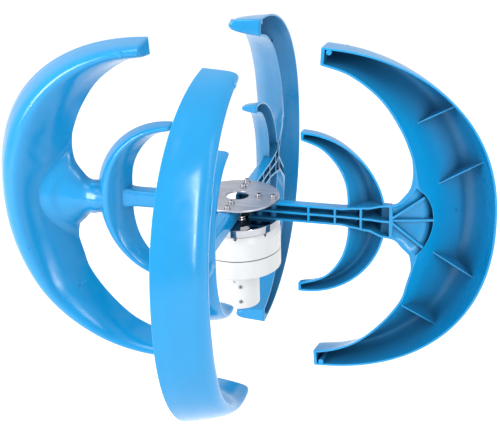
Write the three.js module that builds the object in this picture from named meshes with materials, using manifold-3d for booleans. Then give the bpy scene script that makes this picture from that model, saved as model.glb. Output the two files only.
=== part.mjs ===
// Small vertical-axis wind turbine: four moulded crescent blades on a hub, a permanent-magnet
// generator under it, and a sleeve that slips over the top of a mast.
// Units are millimetres. +Z points up along the spin axis, and the origin is the centre of the
// sleeve's mouth, where the mast goes in. The blades' arms lie along +X, +Y, -X and -Y.
import * as THREE from "three";
import { mergeVertices } from "three/addons/utils/BufferGeometryUtils.js";
import Module from "manifold-3d";

const wasm = await Module();
wasm.setup();

// ---------------------------------------------------------------- driving dimensions
const rotorRadius = 399; // spin axis to the outermost edge of a blade
const bladeCount = 4;
const wall = 3; // moulded wall of a blade
const gap = 0.3; // between pieces that touch
const runningGap = 0.08; // radial clearance of a turning fit
const sealGap = 0.5; // between the shaft and its dust seal

// Heights above the mast sleeve's mouth.
const plateTop = 182;
const plateThickness = 3;
const armTop = plateTop - plateThickness - gap;
const armHeight = 28.6;
const armBottom = armTop - armHeight;
const armMiddle = (armTop + armBottom) / 2;
const flangeTop = armBottom - gap;
const flangeThickness = 12.2;
const flangeBottom = flangeTop - flangeThickness;
const coverTop = flangeBottom - 0.8;
const shoulderBottom = coverTop - 10;
const seamHeight = 96.5; // where the gasket lies on the lower cover
const housingBottom = 66.4;
const sleeveTop = housingBottom - gap;

// Radii about the spin axis.
const plateRadius = 65;
const plateHoleRadius = 18;
const flangeRadius = 65.6;
const housingRadius = 66;
const shoulderRadius = 62.6;
const housingInnerRadius = 57;
const sleeveRadius = 31;
const mastRadius = 25.3;
const shaftRadius = 12.3;
const shaftTopRadius = 9.8;
const shaftBottomRadius = 7.3;

// Bolts that clamp the arms, two to an arm.
const boltCircles = [34.3, 57.2];
const boltRadius = 2.5;
const boltHoleRadius = 3;
const bossRadius = 5.5; // round each bolt, inside the arm
const boltHeadRadius = 4.4;
const boltHeadHeight = 5;

// A blade's edges stand in front of its radial plane, and its shell reaches behind the plane.
const rimFront = 6;
const lipFront = 12; // the arm's open side
const openFront = lipFront + 3; // a hollow runs out past the arm's open side
const armBack = 9;

// ---------------------------------------------------------------- geometry helpers
const vec = (x, y, z) => new THREE.Vector3(x, y, z);
const mix = (a, b, k) => a + (b - a) * k;

// A profile of [radius, height] pairs turned about the spin axis.
function lathe(profile, segments) {
  const points = profile.map(([radius, height]) => new THREE.Vector2(radius, height));
  points.push(points[0].clone());
  return new THREE.LatheGeometry(points, segments).rotateX(Math.PI / 2);
}

// A square-edged ring between two radii and two heights.
function ring(inner, outer, low, high, segments) {
  return lathe([[inner, low], [outer, low], [outer, high], [inner, high]], segments);
}

// The radius of a round hole's corners, so that its flats still clear a shaft of the given radius.
const clearOf = (radius, clearance, segments) => (radius + clearance) / Math.cos(Math.PI / segments);

// An upright cylinder standing on a height.
function cylinder(radius, low, high, segments) {
  return new THREE.CylinderGeometry(radius, radius, high - low, segments)
    .rotateX(Math.PI / 2)
    .translate(0, 0, (low + high) / 2);
}

// A box between two corners.
function block(low, high) {
  const size = high.clone().sub(low);
  const middle = low.clone().add(high).multiplyScalar(0.5);
  return new THREE.BoxGeometry(size.x, size.y, size.z).translate(middle.x, middle.y, middle.z);
}

// A closed skin over a row of rings of points. capFaces gives the triangles that close the first
// ring, from the number of points in it.
function skin(rings, capFaces) {
  const count = rings[0].length;
  const faces = [];
  for (let i = 0; i + 1 < rings.length; i++) {
    for (let j = 0; j < count; j++) {
      const a = i * count + j;
      const b = i * count + ((j + 1) % count);
      faces.push(a, b, a + count, b, b + count, a + count);
    }
  }
  const last = (rings.length - 1) * count;
  for (const [a, b, c] of capFaces(count)) faces.push(a, c, b, last + a, last + b, last + c);
  const geometry = new THREE.BufferGeometry();
  const positions = rings.flat().flatMap((p) => [p.x, p.y, p.z]);
  geometry.setAttribute("position", new THREE.Float32BufferAttribute(positions, 3));
  geometry.setIndex(faces);
  return geometry;
}

// A skin whose end rings are flat and close with a fan of triangles.
function loft(rings) {
  return skin(rings, (count) => Array.from({ length: count - 2 }, (_, i) => [0, i + 1, i + 2]));
}

// A skin over pairs of rows, a back row and a front row, whose ends close with a strip between them.
function slab(pairs) {
  const rings = pairs.map(([back, front]) => [...back, ...[...front].reverse()]);
  return skin(rings, (count) => {
    const strip = [];
    for (let i = 0; i + 1 < count / 2; i++) {
      strip.push([i, i + 1, count - 1 - i], [i + 1, count - 2 - i, count - 1 - i]);
    }
    return strip;
  });
}

// A three.js geometry as a manifold-3d solid, with its faces turned outwards.
function solid(geometry) {
  const bare = new THREE.BufferGeometry();
  bare.setAttribute("position", geometry.getAttribute("position").clone());
  bare.setIndex(geometry.getIndex());
  const merged = mergeVertices(bare, 1e-4);
  const triVerts = new Uint32Array(merged.getIndex().array);
  const vertProperties = new Float32Array(merged.getAttribute("position").array);
  const build = () => new wasm.Manifold(new wasm.Mesh({ numProp: 3, vertProperties, triVerts }));
  const made = build();
  if (made.volume() >= 0) return made;
  for (let i = 0; i < triVerts.length; i += 3) {
    [triVerts[i + 1], triVerts[i + 2]] = [triVerts[i + 2], triVerts[i + 1]];
  }
  return build();
}

// A manifold-3d solid as a three.js geometry.
function geometryOf(body) {
  const mesh = body.getMesh();
  const geometry = new THREE.BufferGeometry();
  geometry.setAttribute("position", new THREE.BufferAttribute(mesh.vertProperties, 3));
  geometry.setIndex(new THREE.BufferAttribute(mesh.triVerts, 1));
  geometry.computeVertexNormals();
  return geometry;
}

const joined = (geometries) => geometries.map(solid).reduce((sum, piece) => sum.add(piece));
const cutFrom = (body, geometries) => geometries.map(solid).reduce((rest, piece) => rest.subtract(piece), body);

// The same geometry at each of a number of places round the spin axis.
function around(count, radius, phase, make) {
  return Array.from({ length: count }, (_, i) => {
    const angle = phase + (i * 2 * Math.PI) / count;
    return make().translate(radius * Math.cos(angle), radius * Math.sin(angle), 0);
  });
}

// ---------------------------------------------------------------- materials
const finish = (color, roughness, metalness) => new THREE.MeshStandardMaterial({ color, roughness, metalness });
const blueNylon = finish(0x1e8fe0, 0.35, 0);
const whitePaint = finish(0xeceeec, 0.4, 0);
const brushedSteel = finish(0xaaa8b0, 0.4, 0.9);
const polishedAluminium = finish(0xe6e6ea, 0.12, 1);
const brightSteel = finish(0xc4c6ca, 0.25, 1);
const blackRubber = finish(0x17181a, 0.8, 0);
const laminatedSteel = finish(0x54565a, 0.55, 0.7);
const enamelledCopper = finish(0xb4602e, 0.4, 0.6);
const nickelMagnet = finish(0xb9b7ae, 0.3, 0.9);

// ---------------------------------------------------------------- blade outlines
// An outline point is (distance from the spin axis, height above the mast sleeve's mouth).
const at = (r, aboveHub) => new THREE.Vector2(r, aboveHub + plateTop);

// The outer edge of the big crescent: a slightly squared half ellipse.
function outerEdge() {
  const centre = at(110, -6);
  const reach = rotorRadius - 110;
  const squareness = 0.89;
  const points = [];
  for (let i = 0; i <= 20; i++) {
    const angle = mix(Math.PI * 0.478, -Math.PI * 0.49, i / 20);
    const height = angle > 0 ? 251 : 276;
    const across = reach * Math.cos(angle) ** squareness;
    const up = height * Math.sign(angle) * Math.abs(Math.sin(angle)) ** squareness;
    points.push(centre.clone().add(new THREE.Vector2(across, up)));
  }
  return new THREE.SplineCurve(points);
}

// The inner edge of the big crescent: an upper and a lower bay, with the end of the arm's fan
// standing out between them.
function innerEdge() {
  return new THREE.SplineCurve([
    at(135, 217), at(178, 203), at(222, 170), at(252, 127), at(268, 90), at(275, 62), at(278, 42),
    at(285, 16), at(288, -15), at(285, -46), at(279, -76), at(273, -98), at(266, -124), at(257, -153),
    at(230, -192), at(192, -229), at(156, -248), at(122, -257),
  ]);
}

// The small crescent is close to a circle outside and a narrower bay inside.
function smallOuterEdge() {
  const centre = at(104, -18);
  const points = [];
  for (let i = 0; i <= 12; i++) {
    const angle = mix(Math.PI / 2, -Math.PI * 0.515, i / 12);
    const height = angle > 0 ? 130 : 134;
    points.push(centre.clone().add(new THREE.Vector2(130 * Math.cos(angle), height * Math.sin(angle))));
  }
  return new THREE.SplineCurve(points);
}

function smallInnerEdge() {
  return new THREE.SplineCurve([
    at(104, 99), at(134, 87), at(158, 62), at(172, 30), at(175, -15), at(174, -54), at(163, -91), at(138, -122),
    at(98, -138),
  ]);
}

// Across a crescent the shell goes from its outer edge straight back, over a rounded ridge, and
// slopes forward to its inner edge. It is boxier at its tips. Each pair is (part of the width, part
// of the depth).
const middleSection = [[1, 0], [0.92, 0.35], [0.81, 0.7], [0.68, 0.96], [0.54, 0.96], [0.28, 0.62], [0, 0]];
const tipSection = [[1, 0], [0.95, 0.5], [0.84, 0.88], [0.62, 1], [0.34, 0.92], [0.13, 0.55], [0, 0]];

// Depths behind the edges, at the top and the bottom, and how far the tips' end walls bulge.
const bigCrescent = {
  outer: outerEdge(), inner: innerEdge(), tipDepths: [52, 50], middleDepth: 66, bulge: 3, stations: 18,
};
const smallCrescent = {
  outer: smallOuterEdge(), inner: smallInnerEdge(), tipDepths: [25, 23], middleDepth: 32, bulge: 2, stations: 9,
};

// One ring of points round a crescent's section. An inset shrinks it by the wall, and opens it
// past the edges, so that the same rings make the hollow of the trough.
function sectionRing(crescent, along, inset) {
  const outer = crescent.outer.getPointAt(along);
  const inner = crescent.inner.getPointAt(along);
  const width = outer.distanceTo(inner);
  const belly = Math.sin(Math.PI * along);
  const boxiness = (1 - belly) ** 3;
  const depth = mix(mix(...crescent.tipDepths, along), crescent.middleDepth, belly ** 0.7) - inset;
  const points = middleSection.map(([across, back], i) => {
    const part = mix(across, tipSection[i][0], boxiness);
    const place = inner.clone().lerp(outer, mix(inset / width, 1 - inset / width, part));
    return vec(place.x, mix(back, tipSection[i][1], boxiness) * depth - rimFront, place.y);
  });
  if (inset > 0) {
    const first = points[0];
    const final = points[points.length - 1];
    points.push(vec(final.x, -openFront, final.z), vec(first.x, -openFront, first.z));
  }
  return points;
}

// A tip's end wall is chamfered: a slightly smaller copy of the section stands beyond it, nearer the
// spin axis.
function endWall(ringAtTip, bulge) {
  const middle = ringAtTip[0].clone().lerp(ringAtTip[ringAtTip.length - 1], 0.5);
  return ringAtTip.map((p) => middle.clone().lerp(p, 0.9).add(vec(-bulge, 0, 0)));
}

function crescentSolid(crescent, inset) {
  const start = inset / crescent.outer.getLength();
  const rings = [];
  for (let i = 0; i <= crescent.stations; i++) {
    rings.push(sectionRing(crescent, mix(start, 1 - start, i / crescent.stations), inset));
  }
  if (inset === 0) {
    const lowest = rings[rings.length - 1];
    rings.unshift(endWall(rings[0], crescent.bulge));
    rings.push(endWall(lowest, crescent.bulge));
  }
  return solid(loft(rings));
}

// ---------------------------------------------------------------- the blade's arm
// The arm's sections are [distance from the axis, top, bottom], with heights above the hub plate:
// level as far as the small crescent, then wider up to the neck.
const armSections = [[20, -3.3, -31.9], [165, -3.3, -31.9], [185, -1, -35], [205, 1, -38], [231, 5, -48], [241, 5, -50]];
const armStart = armSections[0][0];
const armEnd = armSections[armSections.length - 1][0];
const rungs = [115, 156, 196, 240];
const ribHalf = 1.5;
const taperStart = 205; // the arm's open side draws back from here to the fan's front

// A box section at one distance from the axis, square at its open front and chamfered behind.
function boxRing(r, high, low, front, back, corner) {
  return [
    vec(r, -front, high), vec(r, back - corner, high), vec(r, back, high - corner),
    vec(r, back, low + corner), vec(r, back - corner, low), vec(r, -front, low),
  ];
}

// Height of the arm's top (side 1) or bottom (side 2) at any distance from the axis.
function armEdge(side, r) {
  const next = Math.max(1, armSections.findIndex(([distance]) => distance >= r));
  const [before, after] = [armSections[next - 1], armSections[next]];
  return plateTop + mix(before[side], after[side], (r - before[0]) / (after[0] - before[0]));
}

const armHigh = (r) => armEdge(1, r);
const armLow = (r) => armEdge(2, r);
const armCentre = (r) => (armHigh(r) + armLow(r)) / 2;
const armFront = (r) => mix(lipFront, rimFront, Math.max(0, r - taperStart) / (armEnd - taperStart));

// A bar along the arm between two edges.
function armBar(stations, high, low, front, back, corner) {
  return solid(loft(stations.map((r) => boxRing(r, high(r), low(r), front(r), back, corner))));
}

const armBody = (back) => armBar(armSections.map(([r]) => r), armHigh, armLow, armFront, back, 7);

// The hollows of the arm: an upper and a lower row of cells between the rungs.
function armCells(back, from, to) {
  const limits = [armStart - 2, ...rungs];
  const front = () => openFront;
  const cells = [];
  for (let i = 0; i + 1 < limits.length; i++) {
    const start = Math.max(limits[i] + ribHalf, from);
    const end = Math.min(limits[i + 1] - ribHalf, to);
    if (end <= start) continue;
    const between = armSections.map(([r]) => r).filter((r) => r > start && r < end);
    const stations = [start, ...between, end];
    cells.push(armBar(stations, (r) => armHigh(r) - wall, (r) => armCentre(r) + ribHalf, front, back, 4));
    cells.push(armBar(stations, (r) => armCentre(r) - ribHalf, (r) => armLow(r) + wall, front, back, 4));
  }
  return cells.reduce((sum, cell) => sum.add(cell));
}

// ---------------------------------------------------------------- the blade's fan
// The fan flares from the arm's neck into the big crescent. Its stations are bowed lines across it:
// r and the heights above the hub plate are where a line meets the fan's edges, and bow is how far
// its middle lies beyond them. back is the fan's depth there, arch how flat its back is, and pocket
// how deep its front is dished.
const fanStations = [
  { r: 229, top: 4, bottom: -48, bow: 0, back: 26, arch: 0.3, pocket: 0 },
  { r: 241, top: 5, bottom: -50, bow: 3, back: 22, arch: 0.35, pocket: 6 },
  { r: 250, top: 9, bottom: -54, bow: 8, back: 22, arch: 0.4, pocket: 10 },
  { r: 258, top: 18, bottom: -63, bow: 17, back: 24, arch: 0.45, pocket: 16 },
  { r: 263.5, top: 28, bottom: -70, bow: 27, back: 27, arch: 0.5, pocket: 23 },
  { r: 267, top: 38, bottom: -76, bow: 36, back: 30, arch: 0.55, pocket: 31 },
  { r: 274, top: 60, bottom: -96, bow: 42, back: 33, arch: 0.65, pocket: 0 },
  { r: 271, top: 84, bottom: -112, bow: 52, back: 35, arch: 0.75, pocket: 0 },
  { r: 288, top: 100, bottom: -126, bow: 52, back: 33, arch: 0.8, pocket: 0 },
];
const pocketStart = 1; // the station where the dished front begins
const pocketEnd = 5; // and where it ends, in an arc
const fanSteps = 10;

// A row of points across the fan at a station, from a margin inside its top edge to the same
// inside its bottom edge. depthAt gives a point's depth from its share of the way across.
function fanRow(station, margin, depthAt) {
  const height = station.top - station.bottom;
  return Array.from({ length: fanSteps + 1 }, (_, i) => {
    const share = i / fanSteps;
    const across = mix(margin / height, 1 - margin / height, share);
    const r = station.r + station.bow * 4 * across * (1 - across);
    return vec(r, depthAt(share), plateTop + station.top - height * across);
  });
}

const hump = (share) => Math.max(0, Math.sin(Math.PI * share));

function fanSolid() {
  const edge = 0.5; // thickness of the fan's thin edges
  const depthAt = (station, share) => (station.back + rimFront) * hump(share) ** station.arch - rimFront;
  return solid(slab(fanStations.map((station) => [
    fanRow(station, 0, (share) => Math.max(edge - rimFront, depthAt(station, share))),
    fanRow(station, 0, () => -rimFront),
  ])));
}

// A cutter that dishes the fan's front from the neck to the arc, where it is deepest.
function fanPocket() {
  const depthAt = (station, share) => station.pocket * hump(share) ** 0.7 - rimFront;
  return solid(slab(fanStations.slice(pocketStart, pocketEnd + 1).map((station) => [
    fanRow(station, wall, (share) => depthAt(station, share)),
    fanRow(station, wall, () => -openFront),
  ])));
}

// Three ribs fan out from the neck to the arc: their angle, and how deep their tops end.
const fanRibs = [[0.65, -2], [-0.01, 11], [-0.68, -2]];

function fanRib([angle, endTop]) {
  const neck = at(238, -20);
  const [length, floor, half] = [66, 27, 1.2];
  const along = new THREE.Vector2(Math.cos(angle), Math.sin(angle));
  const side = new THREE.Vector2(-along.y, along.x);
  const ringAt = (distance, top) => {
    const place = neck.clone().addScaledVector(along, distance);
    const corner = (across, back) => vec(place.x + side.x * across, back, place.y + side.y * across);
    return [corner(half, top), corner(-half, top), corner(-half, floor), corner(half, floor)];
  };
  return solid(loft([ringAt(0, -rimFront), ringAt(length, endTop)]));
}

// Thin gussets across the big trough, each from near the inner edge to the outer wall: its two
// ends, and how far its top lies behind the edges at each end.
const gussets = [
  [at(262, 122), at(325, 156), 28, 28],
  [at(294, 26), at(366, 68), 30, 34],
  [at(290, -71), at(366, -118), 28, 32],
  [at(251, -158), at(317, -210), 4, 36],
];

function gussetSolid([from, to, innerDrop, outerDrop]) {
  const overrun = 25;
  const along = to.clone().sub(from);
  const length = along.length();
  along.normalize();
  const side = new THREE.Vector2(-along.y, along.x);
  const ringAt = (distance) => {
    const place = from.clone().addScaledVector(along, distance);
    const top = mix(innerDrop, outerDrop, distance / length) - rimFront;
    const corner = (across, back) => vec(place.x + side.x * across, back, place.y + side.y * across);
    return [corner(1, top), corner(-1, top), corner(-1, 90), corner(1, 90)];
  };
  return solid(loft([ringAt(-overrun), ringAt(length + overrun)]));
}

// The blade along +X: shells, arm and fan are one moulding.
function bladeGeometry() {
  const big = crescentSolid(bigCrescent, 0);
  const bigHollow = crescentSolid(bigCrescent, wall);
  const small = crescentSolid(smallCrescent, 0);
  const smallHollow = crescentSolid(smallCrescent, wall);
  const deepest = 60; // behind every shell
  const arm = armBody(armBack);
  const armRoot = armBody(deepest);
  const cells = armCells(armBack - wall, 0, armEnd);
  const deepCells = armCells(deepest, 176, 236);
  const fan = fanSolid().subtract(bigHollow);
  const ribs = fanRibs.map(fanRib).reduce((sum, rib) => sum.add(rib)).intersect(fanSolid());
  const webs = gussets.map(gussetSolid).reduce((sum, web) => sum.add(web)).intersect(big);
  const bosses = boltCircles.map((r) => cylinder(bossRadius, armBottom, armTop, 8).translate(r, 0, 0));
  const holes = boltCircles.map((r) => cylinder(boltHoleRadius, armBottom - 1, armTop + 1, 8).translate(r, 0, 0));
  let body = big.subtract(bigHollow).add(small.subtract(smallHollow.subtract(armRoot)));
  body = body.add(arm).add(fan).subtract(fanPocket()).add(ribs).add(webs);
  body = body.subtract(cells).subtract(deepCells.intersect(smallHollow));
  body = body.add(joined(bosses));
  return geometryOf(cutFrom(body, holes));
}

// ---------------------------------------------------------------- hub
const boltPlaces = [];
for (let arm = 0; arm < bladeCount; arm++) {
  for (const radius of boltCircles) {
    const angle = (arm * 2 * Math.PI) / bladeCount;
    boltPlaces.push(vec(radius * Math.cos(angle), radius * Math.sin(angle), 0));
  }
}

const boltHoles = (low, high, radius) =>
  boltPlaces.map((place) => cylinder(radius, low, high, 8).translate(place.x, place.y, 0));

function hubPlateGeometry() {
  const disc = solid(ring(plateHoleRadius, plateRadius, plateTop - plateThickness, plateTop, 32));
  return geometryOf(cutFrom(disc, boltHoles(plateTop - plateThickness - 1, plateTop + 1, boltHoleRadius)));
}

function hubFlangeGeometry() {
  const chamfer = 1;
  const disc = solid(lathe([
    [shaftTopRadius + gap, flangeBottom], [flangeRadius - chamfer, flangeBottom],
    [flangeRadius, flangeBottom + chamfer], [flangeRadius, flangeTop - chamfer],
    [flangeRadius - chamfer, flangeTop], [shaftTopRadius + gap, flangeTop],
  ], 32));
  return geometryOf(cutFrom(disc, boltHoles(flangeBottom - 1, flangeTop + 1, boltRadius + gap)));
}

// A socket head cap screw whose head stands on height 0.
function hubBoltGeometry() {
  const length = plateTop - flangeBottom - 2;
  const head = cylinder(boltHeadRadius, 0, boltHeadHeight, 12);
  const shank = cylinder(boltRadius, -length, 0.5, 6);
  const socket = cylinder(2.3, boltHeadHeight - 2.5, boltHeadHeight + 1, 6);
  return geometryOf(cutFrom(joined([head, shank]), [socket]));
}

// ---------------------------------------------------------------- shaft
const shaftBottom = 78.8;
const shaftStep = 91;
const shaftShoulder = flangeBottom - gap;
const shaftEnd = 172;
const washerThickness = 2.5;
const nutHeight = 16;

function shaftGeometry() {
  return lathe([
    [0, shaftBottom], [shaftBottomRadius, shaftBottom], [shaftBottomRadius, shaftStep],
    [shaftRadius, shaftStep], [shaftRadius, shaftShoulder], [shaftTopRadius, shaftShoulder],
    [shaftTopRadius, shaftEnd - 1], [shaftTopRadius - 1, shaftEnd], [0, shaftEnd],
  ], 24);
}

function shaftNutGeometry() {
  const low = flangeTop + gap + washerThickness + gap;
  const hexagon = cylinder(17.3, low, low + nutHeight, 6);
  return geometryOf(cutFrom(solid(hexagon), [cylinder(shaftTopRadius + gap, low - 1, low + nutHeight + 1, 24)]));
}

// ---------------------------------------------------------------- generator, turning half
const magnetCount = 8;
const stackBottom = 92;
const stackTop = 112;
const coreRadius = 27.5;
const magnetRadius = 31.5;

function magnetGeometry() {
  const half = Math.PI / magnetCount - 0.05;
  const outline = [];
  for (let i = 0; i <= 4; i++) {
    const angle = mix(-half, half, i / 4);
    outline.push(new THREE.Vector2(magnetRadius * Math.cos(angle), magnetRadius * Math.sin(angle)));
  }
  for (let i = 4; i >= 0; i--) {
    const angle = mix(-half, half, i / 4);
    const radius = coreRadius + gap;
    outline.push(new THREE.Vector2(radius * Math.cos(angle), radius * Math.sin(angle)));
  }
  const depth = stackTop - stackBottom;
  return new THREE.ExtrudeGeometry(new THREE.Shape(outline), { depth, bevelEnabled: false })
    .translate(0, 0, stackBottom);
}

// ---------------------------------------------------------------- generator, fixed half
const toothCount = 9;
const toothTip = 32.6;
const yokeInner = 45;
const toothHalfWidth = 4.5;

function statorGeometry() {
  const yoke = ring(yokeInner, housingInnerRadius - gap, stackBottom - 1, stackTop + 1, 36);
  const teeth = Array.from({ length: toothCount }, (_, i) =>
    block(vec(toothTip, -toothHalfWidth, stackBottom - 1), vec(yokeInner + 2, toothHalfWidth, stackTop + 1))
      .rotateZ((i * 2 * Math.PI) / toothCount));
  return geometryOf(joined([yoke, ...teeth]));
}

// A coil round one tooth: a rectangular ring that stands clear of the lamination.
function coilGeometry() {
  const [inner, outer] = [toothHalfWidth + gap, toothHalfWidth + 5];
  const [low, high] = [stackBottom - 1 - gap, stackTop + 1 + gap];
  const body = solid(block(vec(toothTip + 2.5, -outer, low - 5), vec(yokeInner - 1.2, outer, high + 5)));
  return geometryOf(cutFrom(body, [block(vec(0, -inner, low), vec(100, inner, high))]));
}

// The two covers meet on a flat gasket that ends just inside their chamfered edges.
const seamChamfer = 0.5;
const gasketThickness = 0.8;
const gasketRadius = 65.2;
const seamTop = seamHeight + gap + gasketThickness + gap; // the upper cover's lower edge

const coverScrewCount = 8;
const coverScrewCircle = 60.8;
const coverScrewPhase = THREE.MathUtils.degToRad(-79);
const screwHeadRadius = 2.7;
const screwShankRadius = 1.5;
const screwSeat = shoulderBottom - 1;

const coverScrewHoles = (radius, low, high) =>
  around(coverScrewCount, coverScrewCircle, coverScrewPhase, () => cylinder(clearOf(radius, gap, 6), low, high, 6));

const upperBearing = { inner: shaftRadius + 0.2, outer: 23.4, low: 117.6, high: 129.2 };
const lowerBearing = { inner: shaftBottomRadius + 0.2, outer: 17.4, low: 79, high: 89.8 };

function upperCoverGeometry() {
  const seat = upperBearing.outer + gap;
  const [roof, boss] = [coverTop - 6, upperBearing.low - 1];
  const shell = solid(lathe([
    [housingInnerRadius, seamTop], [housingRadius - seamChamfer, seamTop],
    [housingRadius, seamTop + seamChamfer], [housingRadius, shoulderBottom],
    [shoulderRadius, coverTop - 1], [shoulderRadius - 1.5, coverTop], [19.2, coverTop],
    [19.2, upperBearing.high + gap], [seat, upperBearing.high + gap], [seat, boss],
    [seat + 4.5, boss], [seat + 4.5, roof], [housingInnerRadius, roof],
  ], 32));
  return geometryOf(cutFrom(shell, [
    ...coverScrewHoles(screwHeadRadius, screwSeat, coverTop + 5),
    ...coverScrewHoles(screwShankRadius, seamTop - 1, screwSeat + 1),
  ]));
}

function lowerCoverGeometry() {
  const seat = lowerBearing.outer + gap;
  const [high, floor, bossTop] = [seamHeight, housingBottom + 6, lowerBearing.high + 0.7];
  const shell = solid(lathe([
    [9, housingBottom], [housingRadius - 2.5, housingBottom], [housingRadius, housingBottom + 2.5],
    [housingRadius, high - seamChamfer], [housingRadius - seamChamfer, high],
    [housingInnerRadius, high], [housingInnerRadius, floor],
    [seat + 4, floor], [seat + 4, bossTop], [seat, bossTop], [seat, lowerBearing.low - gap],
    [14, lowerBearing.low - gap], [14, floor - 1], [9, floor - 1],
  ], 32));
  return geometryOf(cutFrom(shell, [
    ...coverScrewHoles(screwShankRadius, high - 16, high + 1),
    block(vec(0, -4, floor - 0.5), vec(seat + 6, 4, lowerBearing.low - 2)), // leads pass under the bearing
    ...sleeveScrewHoles(1.5, housingBottom - 1, housingBottom + 4.2),
  ]));
}

function seamGasketGeometry() {
  const [low, high] = [seamHeight + gap, seamHeight + gap + gasketThickness];
  const body = solid(ring(housingInnerRadius, gasketRadius, low, high, 32));
  return geometryOf(cutFrom(body, coverScrewHoles(screwShankRadius, low - 1, high + 1)));
}

// ---------------------------------------------------------------- mast sleeve
const sleeveScrewCount = 4;
const sleeveScrewCircle = 22;
const sleeveScrewHoles = (radius, low, high) =>
  around(sleeveScrewCount, sleeveScrewCircle, Math.PI / 4, () => cylinder(clearOf(radius, gap, 8), low, high, 8));
const sleeveRoof = 8;
const mastStop = sleeveTop - sleeveRoof; // the roof's underside, where the mast's end rests
const cableHoleRadius = 9;
const screwHeadRecess = 3; // the screws' heads and the grommet's flange lie inside the roof
const grommetRecess = 2.6;
const grommetFlangeRadius = 11.2;
const setScrewAngle = THREE.MathUtils.degToRad(-72);
const setScrewHeights = [38.4, 12.8];
const setScrewRadius = 3.2;
const ventAngle = THREE.MathUtils.degToRad(-91); // a small blind hole near the sleeve's top
const ventHeight = 47;

// A screw lying along +X, from one distance to another from the spin axis.
function radialPin(radius, from, to, segments) {
  return cylinder(radius, from, to, segments).rotateY(Math.PI / 2);
}

function sleeveGeometry() {
  const recess = grommetFlangeRadius + gap;
  const shell = solid(lathe([
    [mastRadius, 0], [sleeveRadius - 0.8, 0], [sleeveRadius, 0.8], [sleeveRadius, sleeveTop],
    [cableHoleRadius, sleeveTop], [cableHoleRadius, mastStop + grommetRecess], [recess, mastStop + grommetRecess],
    [recess, mastStop], [mastRadius, mastStop],
  ], 32));
  const threads = setScrewHeights.map((height) =>
    radialPin(setScrewRadius + gap, mastRadius - 3, sleeveRadius + 3, 10)
      .rotateZ(setScrewAngle)
      .translate(0, 0, height));
  const ventHole = radialPin(1.2, sleeveRadius - 3, sleeveRadius + 3, 8)
    .rotateZ(ventAngle)
    .translate(0, 0, ventHeight);
  return geometryOf(cutFrom(shell, [
    ...threads,
    ventHole,
    ...sleeveScrewHoles(1.5, mastStop - 1, sleeveTop + 1),
    ...sleeveScrewHoles(2.8, mastStop - 1, mastStop + screwHeadRecess),
  ]));
}

function setScrewGeometry() {
  const body = solid(radialPin(setScrewRadius, mastRadius + 0.6, sleeveRadius - 0.6, 10));
  return geometryOf(cutFrom(body, [radialPin(1.6, sleeveRadius - 3, sleeveRadius + 1, 6)]));
}

function sleeveScrewGeometry() {
  const seat = mastStop + screwHeadRecess - gap;
  const head = cylinder(2.8, seat - 2.4, seat, 8);
  const shank = cylinder(1.5, seat - 0.5, housingBottom + 3.8, 8);
  return geometryOf(joined([head, shank]));
}

function grommetGeometry() {
  const [inner, outer] = [4, cableHoleRadius - gap];
  const flangeTopHeight = mastStop + grommetRecess - gap;
  return lathe([
    [inner, mastStop + gap], [grommetFlangeRadius, mastStop + gap], [grommetFlangeRadius, flangeTopHeight],
    [outer, flangeTopHeight], [outer, housingBottom + 4], [inner, housingBottom + 4],
  ], 20);
}

// ---------------------------------------------------------------- assembly
const turbine = new THREE.Group();
const rotor = new THREE.Group();
const stator = new THREE.Group();
turbine.add(rotor, stator);

function place(group, name, geometry, material, position = vec(0, 0, 0), turn = 0) {
  const mesh = new THREE.Mesh(geometry, material);
  mesh.name = name;
  mesh.position.copy(position);
  mesh.rotation.z = turn;
  group.add(mesh);
}

const blade = bladeGeometry();
["right", "back", "left", "front"].forEach((side, i) => {
  place(rotor, `blade_${side}`, blade, blueNylon, vec(0, 0, 0), (i * 2 * Math.PI) / bladeCount);
});
place(rotor, "hub_plate", hubPlateGeometry(), brushedSteel);
place(rotor, "hub_flange", hubFlangeGeometry(), polishedAluminium);
const hubBolt = hubBoltGeometry();
boltPlaces.forEach((spot, i) => {
  place(rotor, `hub_bolt_${i + 1}`, hubBolt, brightSteel, vec(spot.x, spot.y, plateTop + gap));
});
place(rotor, "main_shaft", shaftGeometry(), brightSteel);
place(rotor, "shaft_nut", shaftNutGeometry(), brightSteel);
place(rotor, "shaft_washer",
  ring(shaftTopRadius + gap, 18.5, flangeTop + gap, flangeTop + gap + washerThickness, 24), brightSteel);
place(rotor, "rotor_core", ring(shaftRadius + gap, coreRadius, stackBottom, stackTop, 24), laminatedSteel);
const magnet = magnetGeometry();
for (let i = 0; i < magnetCount; i++) {
  place(rotor, `rotor_magnet_${i + 1}`, magnet, nickelMagnet, vec(0, 0, 0), (i * 2 * Math.PI) / magnetCount);
}

// A sealed bearing is a turning inner race and a fixed outer race with its shields.
function placeBearing(name, { inner, outer, low, high }) {
  const raceShare = 0.28; // each race's part of the bearing's width
  const wallOfRace = (outer - inner) * raceShare;
  place(rotor, `${name}_inner_race`, ring(inner, inner + wallOfRace, low, high, 24), brightSteel);
  place(stator, `${name}_outer_race`,
    ring(clearOf(inner + wallOfRace, runningGap, 24), outer, low + 0.2, high - 0.2, 24), brightSteel);
}
placeBearing("upper_bearing", upperBearing);
placeBearing("lower_bearing", lowerBearing);

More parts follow.
